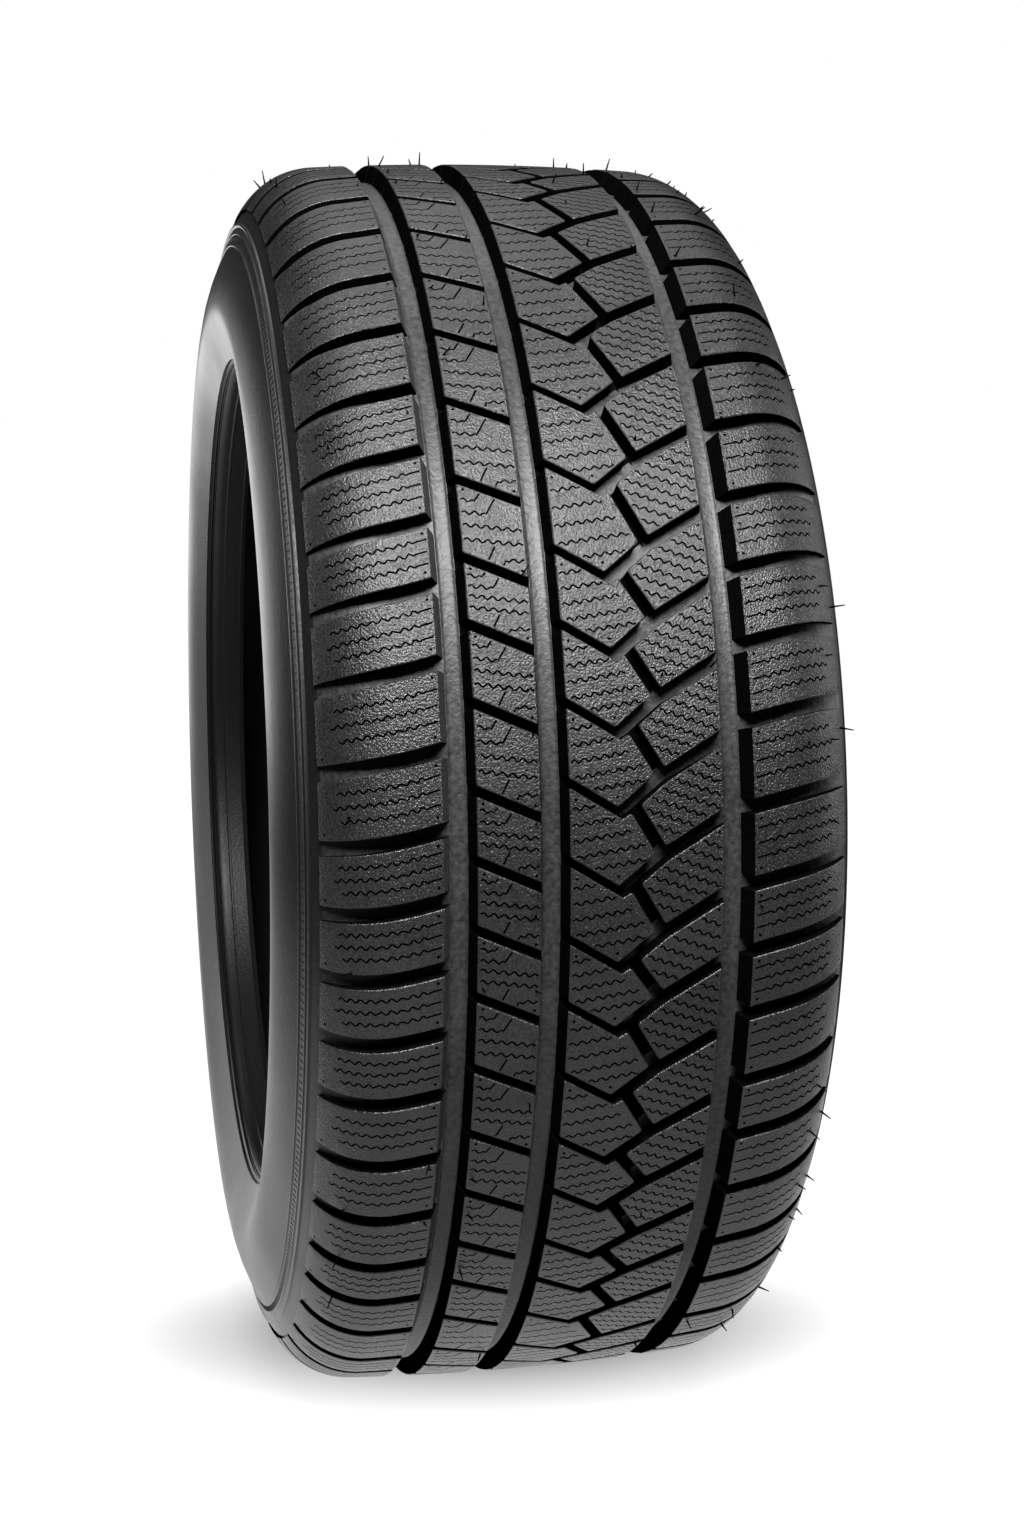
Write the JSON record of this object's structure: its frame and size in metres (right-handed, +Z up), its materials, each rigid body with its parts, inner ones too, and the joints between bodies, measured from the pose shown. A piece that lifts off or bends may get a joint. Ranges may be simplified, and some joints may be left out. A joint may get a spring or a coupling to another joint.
{
  "type": "car tyre",
  "caption": "Low-profile car tyre without its wheel, with deep ring grooves and an asymmetric siped tread, standing on a small contact patch.",
  "frame": {"origin": "the wheel's centre: on the spin axis, half way between the two beads", "axes": "+Y along the spin axis, towards the shoulder beside the zigzag blocks, +Z up, +X out of the front of the tread"},
  "size_m": [0.6518, 0.268, 0.6504],
  "materials": {
    "rubber": "satin black moulded rubber"
  },
  "bodies": {
    "root": {"tyre": "rubber"}
  },
  "joints": []
}
